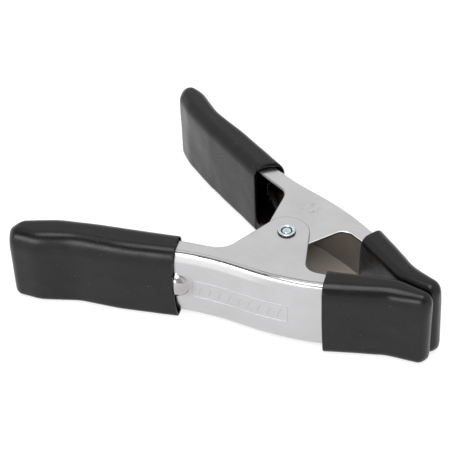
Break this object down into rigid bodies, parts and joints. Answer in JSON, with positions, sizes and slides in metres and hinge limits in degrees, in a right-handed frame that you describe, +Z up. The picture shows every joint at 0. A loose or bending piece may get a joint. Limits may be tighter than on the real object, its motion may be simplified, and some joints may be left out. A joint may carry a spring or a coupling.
{
  "type": "spring clamp",
  "caption": "Sprung hand clamp of two stamped steel channel halves on a rivet, with soft black sleeves over the handles and the gripping jaws.",
  "frame": {"origin": "centre of the clamp's box at the plane it rests on, with the clamp lying on its side", "axes": "+X from the handles to the jaws along the line where the jaws meet, +Z up along the pivot's axis, +Y towards the narrow (inner) half"},
  "size_m": [0.1544, 0.1162, 0.0332],
  "materials": {
    "plated_steel": "bright nickel plate over rolled sheet steel, faint scuffs",
    "rivet_zinc": "bright blue-white zinc plate",
    "spring_wire": "drawn spring wire, lightly oiled",
    "black_vinyl": "semi-gloss soft vinyl"
  },
  "bodies": {
    "outer_arm": {"outer_half": "plated_steel", "pivot_rivet": "rivet_zinc", "torsion_spring": "spring_wire", "outer_handle_sleeve": "black_vinyl", "outer_jaw_sleeve": "black_vinyl"},
    "inner_arm": {"inner_half": "plated_steel", "inner_handle_sleeve": "black_vinyl", "inner_jaw_sleeve": "black_vinyl"}
  },
  "joints": [
    {"name": "jaw_pivot", "type": "hinge", "parent": "outer_arm", "child": "inner_arm", "pos_m": [0.01282, 0.00022, 0.0166], "axis": [0, 0, 1], "range_deg": [0, 56], "stiffness_Nm_per_rad": 2.9, "springref_deg": -51.57, "deforming": ["torsion_spring"]}
  ]
}
